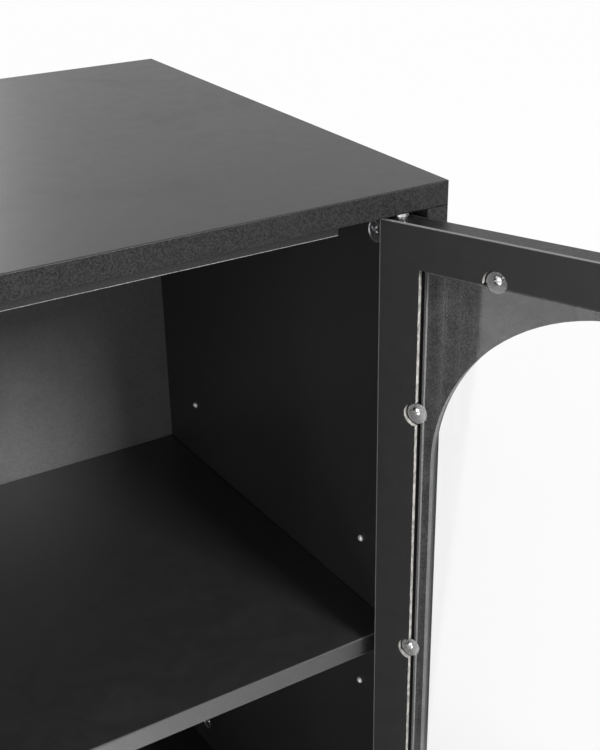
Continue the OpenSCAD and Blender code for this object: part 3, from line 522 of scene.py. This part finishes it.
def powder_coat_material(name, roughness=0.36, worn_highlight_below=None):
    """Black powder coat. A stop rail's lower edge, below the given height, is drawn bright: coat
    rubbed to the metal, and a painted highlight along the edge.
    """
    material, tree, output = new_material(name)
    point = object_point(tree)
    grain = place_group(tree, "Paint grain", {"Point": point, "Grain": 1000.0})
    marks = place_group(tree, "Dust", {"Point": point, "Amount": 0.05})["Mask"]
    tone, fleck = grain["Tone"], grain["Fleck"]
    colour = blend_colours(tree, tone, grey(0.014), grey(0.030))
    if worn_highlight_below is not None:
        # Bright band along the rail's foot: wear and a painted highlight
        worn_highlight = step(tree, components(tree, point)[2], worn_highlight_below - 0.2 * MM, worn_highlight_below,
                    rising=False)
        patchy = calc(tree, "MULTIPLY", worn_highlight, raised(tree, 0.4, fleck, 0.6), clamp=True)
        flecked = blend_colours(tree, fleck, grey(0.003), grey(0.020))
        colour = blend_colours(tree, patchy, flecked, grey(0.50))
    principled(tree, output, {
        "Base Color": colour,
        "Roughness": calc(tree, "ADD", raised(tree, roughness, tone, 0.12), marks),
        "Normal": relief(tree, grain["Height"], 0.35, 0.2 * MM)})
    return material


def plated_material(name, colour, low_rough, high_rough):
    """Zinc or nickel plate: faint tool marks and cloudy gloss."""
    material, tree, output = new_material(name)
    point = object_point(tree)
    marks = noise(tree, point, 1800.0, detail=3.0, roughness=0.6)
    tone = weighed(tree, marks, 0.5, noise(tree, point, 160.0))
    principled(tree, output, {
        "Base Color": blend_colours(tree, tone, shade(colour, 0.8), shade(colour)),
        "Roughness": raised(tree, low_rough, tone, high_rough - low_rough),
        "Metallic": 1.0, "Normal": relief(tree, marks, 0.15, 0.05 * MM)})
    return material


def black_plastic_material():
    """Moulded black plastic with a spark-eroded grain."""
    material, tree, output = new_material("black_plastic")
    grain = noise(tree, object_point(tree), 2600.0)
    principled(tree, output, {
        "Base Color": blend_colours(tree, grain, grey(0.012), grey(0.024)),
        "Roughness": raised(tree, 0.42, grain, 0.16),
        "Normal": relief(tree, grain, 0.3, 0.06 * MM)})
    return material


def beech_material():
    """Bare beech of the dowels: long fibres and short dark rays."""
    material, tree, output = new_material("beech")
    drawn = drawn_out(tree, object_point(tree), (1.0, 1.0, 0.06))
    fibre = noise(tree, drawn, 1500.0, detail=4.0, roughness=0.65)
    ray = step(tree, noise(tree, drawn, 2600.0, detail=1.0), 0.62, 0.72)
    wood = blend_colours(tree, fibre, (0.48, 0.33, 0.20, 1.0), (0.68, 0.50, 0.33, 1.0))
    principled(tree, output, {
        "Base Color": blend_colours(tree, calc(tree, "MULTIPLY", ray, 0.5), wood,
                                    (0.30, 0.19, 0.11, 1.0)),
        "Roughness": raised(tree, 0.55, fibre, 0.2),
        "Normal": relief(tree, fibre, 0.4, 0.1 * MM)})
    return material


def glass_material():
    """Clear float glass, whose gloss is a coat over it."""
    material, tree, output = new_material("glass")
    point = object_point(tree)
    marks = place_group(tree, "Dust", {"Point": point, "Amount": 0.06})["Mask"]
    shader = add(tree, "ShaderNodeBsdfPrincipled", {
        "Base Color": blend_colours(tree, noise(tree, point, 30.0), grey(0.975), grey(0.99)),
        "Roughness": 0.0, "IOR": 1.02, "Transmission Weight": 1.0,
        "Coat Weight": calc(tree, "SUBTRACT", 1.0, marks, clamp=True),
        "Coat Roughness": 0.03, "Coat IOR": 1.58})
    let_lamps_through(tree, output, shader, 0.98)
    return material


def ground_glass_material(name, dark, light):
    """Frosted edge of a pane, left by the wheel."""
    material, tree, output = new_material(name)
    grit = noise(tree, object_point(tree), 1500.0, detail=3.0, roughness=0.7)
    principled(tree, output, {
        "Base Color": blend_colours(tree, step(tree, grit, 0.3, 0.7), grey(dark), grey(light)),
        "Roughness": raised(tree, 0.42, grit, 0.25),
        "Normal": relief(tree, grit, 0.5, 0.05 * MM)})
    return material


def clip_material():
    """Milky moulded plastic of the glass clips."""
    material, tree, output = new_material("clear_plastic")
    point = object_point(tree)
    marks = place_group(tree, "Dust", {"Point": point, "Amount": 0.10})["Mask"]
    shader = add(tree, "ShaderNodeBsdfPrincipled", {
        "Base Color": blend_colours(tree, noise(tree, point, 260.0), grey(0.684), grey(0.836)),
        "Roughness": calc(tree, "ADD", 0.07, marks), "IOR": 1.49,
        "Transmission Weight": 0.8})
    let_lamps_through(tree, output, shader, 0.7)
    return material


def assign(material, *nodes):
    """Gives every material slot of these CAD nodes the material."""
    for node in nodes:
        slots = NODES[node].material_slots
        if not slots:
            raise RuntimeError(f"{node} has no material slot")
        for place in slots:
            place.material = material


# ---- Places ----

def door_axes(door):
    """Places a door's own axes: X from the pivot to the free edge, Z up."""
    hinge = next(j for j in frame["joints"] if j["child"] == door + "_leaf")
    pivot = Vector(hinge["pos_m"])
    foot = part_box(door + "_door")[0].z
    corners = [v.co for v in NODES[door + "_glass"].data.vertices]
    middle = sum(corners, Vector()) / len(corners)
    across = (middle - pivot).to_2d()
    # The pane's widest level lines run along the door, either way
    lines = [(a - b).to_2d() for a in corners for b in corners]
    width = max(line.length for line in lines)
    widest = [line for line in lines if abs(line.length - width) < 0.01 * width]
    along = sum((line if line.dot(across) > 0 else -line for line in widest),
                Vector((0, 0))).normalized()
    turn = math.atan2(along.y, along.x)
    return Matrix.Translation((pivot.x, pivot.y, foot)) @ Matrix.Rotation(turn, 4, "Z")


def own_box(node, local):
    """Lowest and highest corner of a node in its own axes."""
    back = local.inverted()
    points = [back @ v.co for v in NODES[node].data.vertices]
    return (Vector(map(min, *points)), Vector(map(max, *points)))


def new_piece(name, bm):
    """Object of a built mesh, with its faces turned outwards."""
    bmesh.ops.recalc_face_normals(bm, faces=bm.faces)
    mesh = bpy.data.meshes.new(name)
    bm.to_mesh(mesh)
    bm.free()
    made = bpy.data.objects.new(name, mesh)
    bpy.context.scene.collection.objects.link(made)
    return made


def turned_mesh(name, profile, places, sides=32):
    """Turned pieces: each place is the axis' foot and its direction along X, and the
    profile gives each ring's radius and its distance from the foot."""
    angles = [2 * math.pi * n / sides for n in range(sides)]
    bm = bmesh.new()
    for foot, way in places:
        rings = []
        for radius, along in profile:
            x = foot[0] + way * along
            if radius == 0:
                rings.append([bm.verts.new((x, foot[1], foot[2]))])
            else:
                rings.append([bm.verts.new((x, foot[1] + radius * math.cos(a),
                                            foot[2] + radius * math.sin(a))) for a in angles])
        for first, second in zip(rings, rings[1:]):
            for n in range(sides):
                ring = [first[n % len(first)], first[(n + 1) % len(first)],
                        second[(n + 1) % len(second)], second[n % len(second)]]
                corners = list(dict.fromkeys(ring))
                bm.faces.new(corners if way < 0 else corners[::-1]).smooth = True
    return new_piece(name, bm)


def make_pane(name, low, high, local, bevel=0.8 * MM, gap=0.05 * MM):
    """Pane with ground bevels, a hair off the rebate's floor, placed by a door's own axes.
    Its materials are for the faces, the ground edges and their bevels, in that order."""
    near, far = low.y, high.y
    # The face nearer to the middle of the door's thickness lies on the rebate's floor
    if abs(near) < abs(far):
        near += gap
    else:
        far -= gap
    bm = bmesh.new()
    rings = []
    for depth, inset in ((near, bevel), (near + bevel, 0), (far - bevel, 0), (far, bevel)):
        x0, x1, z0, z1 = low.x + inset, high.x - inset, low.z + inset, high.z - inset
        rings.append([bm.verts.new(local @ Vector((x, depth, z)))
                      for x, z in ((x0, z0), (x1, z0), (x1, z1), (x0, z1))])
    bm.faces.new(rings[0])
    bm.faces.new(rings[-1][::-1])
    for first, second, kind in zip(rings, rings[1:], (2, 1, 2)):
        for n in range(4):
            side = bm.faces.new((first[n], second[n], second[(n + 1) % 4], first[(n + 1) % 4]))
            side.material_index = kind
    return new_piece(name, bm)


# ---- Operators ----

class CABINET_OT_paint_boards(bpy.types.Operator):
    """Paints the carcass boards and the shelves satin black, with bare board in their bores"""
    bl_idname = "cabinet.paint_boards"
    bl_label = "Paint the boards"

    def execute(self, context):
        finish = context.scene.cabinet_finish
        for node, thin in BOARDS.items():
            low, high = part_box(node)
            # Sides and divider lighter, shelves darker than the same paint: painted light and
            # painted shade
            look = {"lift": finish.upright_painted_light if thin[0] else 1.0}
            if node.endswith("_shelf"):
                look = {"lift": finish.shelf_painted_shade, "gloss": finish.shelf_gloss}
            assign(paint_board_material("paint_" + node, finish, low, high, thin, **look), node)
        return {"FINISHED"}


class CABINET_OT_band_shelves(bpy.types.Operator):
    """Glues thin edge bands on the shelves' ends, above the pins"""
    bl_idname = "cabinet.band_shelves"
    bl_label = "Band the shelves' ends"

    def execute(self, context):
        band, above_pins, arris = 1.2 * MM, 5.2 * MM, 0.3 * MM
        bm = bmesh.new()
        for node in ("left_shelf", "right_shelf"):
            low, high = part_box(node)
            for inner, outer in ((low[0], low[0] - band), (high[0], high[0] + band)):
                eased = outer - math.copysign(arris, outer - inner)
                outline = ((inner, low[2] + above_pins), (outer, low[2] + above_pins),
                           (outer, high[2] - arris), (eased, high[2]), (inner, high[2]))
                ends = [[bm.verts.new((x, y, z)) for x, z in outline]
                        for y in (low[1] + arris, high[1] - arris)]
                for loop in ends:
                    bm.faces.new(loop)
                for n in range(len(outline)):
                    m = (n + 1) % len(outline)
                    bm.faces.new((ends[0][n], ends[0][m], ends[1][m], ends[1][n]))
        bands = new_piece("shelf_end_bands", bm)
        bands.data.materials.append(powder_coat_material("shelf_edge_band"))
        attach(bands, "cabinet")
        return {"FINISHED"}


class CABINET_OT_paint_doors(bpy.types.Operator):
    """Paints the four door panels"""
    bl_idname = "cabinet.paint_doors"
    bl_label = "Paint the doors"

    def execute(self, context):
        finish = context.scene.cabinet_finish
        for door in DOORS:
            local = door_axes(door)
            low, high = own_box(door + "_door", local)
            pane_low, pane_high = own_box(door + "_glass", local)
            back = 1.0 if pane_low.y + pane_high.y > low.y + high.y else -1.0
            assign(paint_board_material("paint_" + door + "_door", finish, low, high,
                                        (0, 1, 0), local, back), door + "_door")
        return {"FINISHED"}


class CABINET_OT_finish_backs(bpy.types.Operator):
    """Gives the back panels their printed hardboard"""
    bl_idname = "cabinet.finish_backs"
    bl_label = "Finish the back panels"

    def execute(self, context):
        assign(hardboard_material(context.scene.cabinet_finish), "left_back", "right_back")
        return {"FINISHED"}


class CABINET_OT_coat_metalwork(bpy.types.Operator):
    """Powder-coats the legs, stop rails and knobs"""
    bl_idname = "cabinet.coat_metalwork"
    bl_label = "Coat the metalwork"

    def execute(self, context):
        assign(powder_coat_material("black_steel"),
               *(node for node in NODES if node.endswith(("_leg", "_knob"))))
        rail_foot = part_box("left_stop_rail")[0][2]
        # The rails' foot gets a bright band: wear and a painted highlight
        assign(powder_coat_material("black_steel_rail", 0.24, rail_foot + 0.7 * MM),
               "left_stop_rail", "right_stop_rail")
        return {"FINISHED"}


class CABINET_OT_plate_fittings(bpy.types.Operator):
    """Zinc-plates the fittings and nickel-plates the magnets"""
    bl_idname = "cabinet.plate_fittings"
    bl_label = "Plate the fittings"

    def execute(self, context):
        zinc = context.scene.cabinet_finish.steel_colour
        zinc_plated = ("_screws", "_bushes", "_strike", "_pins", "_bolts")
        assign(plated_material("bright_steel", zinc, 0.14, 0.32),
               *(node for node in NODES if node.endswith(zinc_plated)))
        assign(plated_material("cast_zinc", (0.62, 0.62, 0.63), 0.16, 0.34), "cam_locks")
        # The pivot pins are drawn in a darker steel, a painted shade of the gaps they stand in
        assign(plated_material("pivot_steel", (0.34, 0.34, 0.34), 0.25, 0.45),
               *(door + "_pivots" for door in DOORS))
        assign(plated_material("magnet", (0.5, 0.5, 0.5), 0.2, 0.4), "catch_magnets")
        return {"FINISHED"}


class CABINET_OT_rim_cam_locks(bpy.types.Operator):
    """Turns the raised rim round each cam lock's face"""
    bl_idname = "cabinet.rim_cam_locks"
    bl_label = "Rim the cam locks"

    def execute(self, context):
        lock_radius, foot_depth = 7.38 * MM, 0.2 * MM
        bead_radius, bead_half_width, bead_height = 6.85 * MM, 0.5 * MM, 0.42 * MM
        wall_depth = 0.3 * MM
        low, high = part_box("cam_locks")
        faces = ((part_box("left_side")[1][0], 1), (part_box("divider")[0][0], -1),
                 (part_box("right_side")[0][0], -1))
        places = [((x - foot_depth * way, y, z), way) for x, way in faces
                  for y in (low[1] + lock_radius, high[1] - lock_radius)
                  for z in (low[2] + lock_radius, high[2] - lock_radius)]
        bead = [(bead_radius + bead_half_width * math.cos(a), bead_height * math.sin(a))
                for a in (math.radians(180 * n / 8) for n in range(9))]
        profile = [(bead[0][0], -wall_depth), *bead, (bead[-1][0], -wall_depth)]
        rims = turned_mesh("cam_rims", profile, places, sides=48)
        rims.data.materials.append(plated_material("cam_rim", (0.70, 0.70, 0.71), 0.30, 0.46))
        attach(rims, "cabinet")
        return {"FINISHED"}


class CABINET_OT_mould_plastics(bpy.types.Operator):
    """Finishes the catches and glides as moulded plastic, and the dowels as beech"""
    bl_idname = "cabinet.mould_plastics"
    bl_label = "Finish plastics and dowels"

    def execute(self, context):
        assign(black_plastic_material(), "left_catch", "right_catch", "leg_glides")
        assign(beech_material(), "dowels")
        return {"FINISHED"}


class CABINET_OT_plug_pin_holes(bpy.types.Operator):
    """Closes the pin holes that no shelf pin uses with small domed satin nickel caps"""
    bl_idname = "cabinet.plug_pin_holes"
    bl_label = "Plug the free pin holes"

    def execute(self, context):
        # The rows' places in depth, the height of the shelf pins' holes and the holes' pitch
        rows, pin_height, pitch = (-0.128, 0.123), 0.458, 0.064
        radius = 2.4 * MM
        pins_low, pins_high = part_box("shelf_pins")
        if not pins_low[2] < pin_height < pins_high[2]:
            raise RuntimeError("the pin holes' heights don't match the frame's")
        faces = ((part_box("left_side")[1][0], 1), (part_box("divider")[0][0], -1),
                 (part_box("divider")[1][0], 1), (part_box("right_side")[0][0], -1))
        places = [((x, y, pin_height + above * pitch), way)
                  for x, way in faces for y in rows for above in (-1, 1)]
        profile = ((0, -2.6 * MM), (0.82 * radius, -2.6 * MM), (radius, -2.0 * MM),
                   (radius, 0.10 * MM), (0.97 * radius, 0.55 * MM), (0.86 * radius, 1.05 * MM),
                   (0.66 * radius, 1.45 * MM), (0.36 * radius, 1.70 * MM), (0, 1.78 * MM))
        plugs = turned_mesh("pin_hole_plugs", profile, places)
        plugs.data.materials.append(plated_material("satin_nickel", (0.95, 0.95, 0.95),
                                                    0.60, 0.76))
        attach(plugs, "cabinet")
        return {"FINISHED"}


class CABINET_OT_glaze_doors(bpy.types.Operator):
    """Makes the panes glass and their clips milky plastic"""
    bl_idname = "cabinet.glaze_doors"
    bl_label = "Glaze the doors"

    def execute(self, context):
        # One ground glass in two greys: the edges darker, a painted shade in the rebate, the
        # bevels lighter
        finishes = (glass_material(), ground_glass_material("ground_edge", 0.02, 0.09),
                    ground_glass_material("ground_bevel", 0.07, 0.26))
        for door in DOORS:
            local = door_axes(door)
            low, high = own_box(door + "_glass", local)
            pane = make_pane("pane_" + door, low, high, local)
            for finish in finishes:
                pane.data.materials.append(finish)
            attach(pane, door + "_leaf")
            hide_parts(door + "_glass")
        assign(finishes[0], *(door + "_glass" for door in DOORS))
        assign(clip_material(), *(door + "_clips" for door in DOORS))
        return {"FINISHED"}


# ---- Studio ----

def white_to_lenses(tree):
    """1 for rays from the camera or by way of a reflection or clear glass, else 0."""
    path = add(tree, "ShaderNodeLightPath").outputs
    glossy = calc(tree, "MAXIMUM", path["Is Glossy Ray"], path["Is Transmission Ray"])
    return calc(tree, "MAXIMUM", path["Is Camera Ray"], glossy)


def make_floor():
    """Plain pale floor that stays white behind the cabinet, with a painted shadow where the
    cabinet stands over it.
    """
    half, shadow_reach, shown_white = 6.0, 0.40, 0.985
    mesh = bpy.data.meshes.new("studio_floor")
    mesh.from_pydata([(-half, -half, 0), (half, -half, 0), (half, half, 0), (-half, half, 0)],
                     [], [(0, 1, 2, 3)])
    floor = bpy.data.objects.new("studio_floor", mesh)
    bpy.context.scene.collection.objects.link(floor)
    material, tree, output = new_material("studio_floor")
    matt = add(tree, "ShaderNodeBsdfDiffuse", {"Color": grey(0.8)})
    # The glow that makes the floor white hides the lamps' shadows, so a painted shadow, from
    # ambient occlusion, darkens it where the cabinet stands over it
    painted_shadow = add(tree, "ShaderNodeAmbientOcclusion", {"Distance": shadow_reach}, samples=8)
    tone = blend_colours(tree, painted_shadow.outputs["AO"], grey(0.30), grey(1.0))
    glow = add(tree, "ShaderNodeEmission", {"Color": tone, "Strength": 1.0})
    share = calc(tree, "MULTIPLY", white_to_lenses(tree), shown_white)
    mix_shaders(tree, output, share, matt, glow)
    mesh.materials.append(material)


def make_sky(strength):
    """White surround to the lens and to reflections, and a softer even light."""
    world = bpy.data.worlds.new("studio_sky")
    bpy.context.scene.world = world
    world.use_nodes = True
    tree = world.node_tree
    tree.nodes.clear()
    light = add(tree, "ShaderNodeBackground", {"Color": grey(1.0), "Strength": strength})
    white = add(tree, "ShaderNodeBackground", {"Color": grey(1.0), "Strength": 1.0})
    output = tree.nodes.new("ShaderNodeOutputWorld")
    mix_shaders(tree, output, white_to_lenses(tree), light, white)


def make_lamp(name, place, target, size, power):
    """Rectangular soft lamp at a place, looking at its target."""
    data = bpy.data.lights.new(name, "AREA")
    data.shape = "RECTANGLE"
    data.size, data.size_y = size
    data.energy = power
    lamp = bpy.data.objects.new(name, data)
    lamp.location = place
    lamp.rotation_euler = (Vector(target) - Vector(place)).to_track_quat("-Z", "Y").to_euler()
    lamp.visible_camera = False
    bpy.context.scene.collection.objects.link(lamp)


def make_camera(studio):
    """The scene's camera, from the studio's settings."""
    data = bpy.data.cameras.new("studio_camera")
    data.sensor_width = 36.0
    data.lens = studio.camera_lens
    data.shift_x, data.shift_y = studio.camera_shift
    camera = bpy.data.objects.new("studio_camera", data)
    camera.location = studio.camera_place
    camera.rotation_euler = studio.camera_turn
    bpy.context.scene.collection.objects.link(camera)
    bpy.context.scene.camera = camera


class CABINET_OT_set_stage(bpy.types.Operator):
    """Sets the floor, the surround, the lamps and the camera"""
    bl_idname = "cabinet.set_stage"
    bl_label = "Set the stage"

    def execute(self, context):
        studio = context.scene.cabinet_studio
        context.scene.view_settings.view_transform = "Standard"
        make_camera(studio)
        make_floor()
        make_sky(studio.sky_light)
        for name, (setting, place, target, size) in LAMPS.items():
            make_lamp(name, place, target, size, getattr(studio, setting))
        return {"FINISHED"}


class CABINET_PT_panel(bpy.types.Panel):
    """Lists the finishes and the stage"""
    bl_idname = "CABINET_PT_panel"
    bl_label = "Media cabinet"
    bl_space_type = "VIEW_3D"
    bl_region_type = "UI"
    bl_category = "Cabinet"

    def draw(self, context):
        for settings in (context.scene.cabinet_finish, context.scene.cabinet_studio):
            box = self.layout.box()
            for name in settings.__annotations__:
                box.prop(settings, name)
        for operator in OPERATORS:
            self.layout.operator(operator.bl_idname)


OPERATORS = (
    CABINET_OT_set_stage,
    CABINET_OT_paint_boards,
    CABINET_OT_band_shelves,
    CABINET_OT_paint_doors,
    CABINET_OT_finish_backs,
    CABINET_OT_coat_metalwork,
    CABINET_OT_plate_fittings,
    CABINET_OT_rim_cam_locks,
    CABINET_OT_mould_plastics,
    CABINET_OT_plug_pin_holes,
    CABINET_OT_glaze_doors,
)
CLASSES = (CabinetFinish, CabinetStudio, *OPERATORS, CABINET_PT_panel)


def register():
    """Registers the settings, the operators and the panel."""
    for cls in CLASSES:
        bpy.utils.register_class(cls)
    bpy.types.Scene.cabinet_finish = PointerProperty(type=CabinetFinish)
    bpy.types.Scene.cabinet_studio = PointerProperty(type=CabinetStudio)


def unregister():
    """Takes them away again."""
    del bpy.types.Scene.cabinet_studio
    del bpy.types.Scene.cabinet_finish
    for cls in reversed(CLASSES):
        bpy.utils.unregister_class(cls)


def main():
    """Dresses the cabinet and its stage."""
    register()
    for operator in OPERATORS:
        group, name = operator.bl_idname.split(".")
        getattr(getattr(bpy.ops, group), name)()


if __name__ == "__main__":
    main()
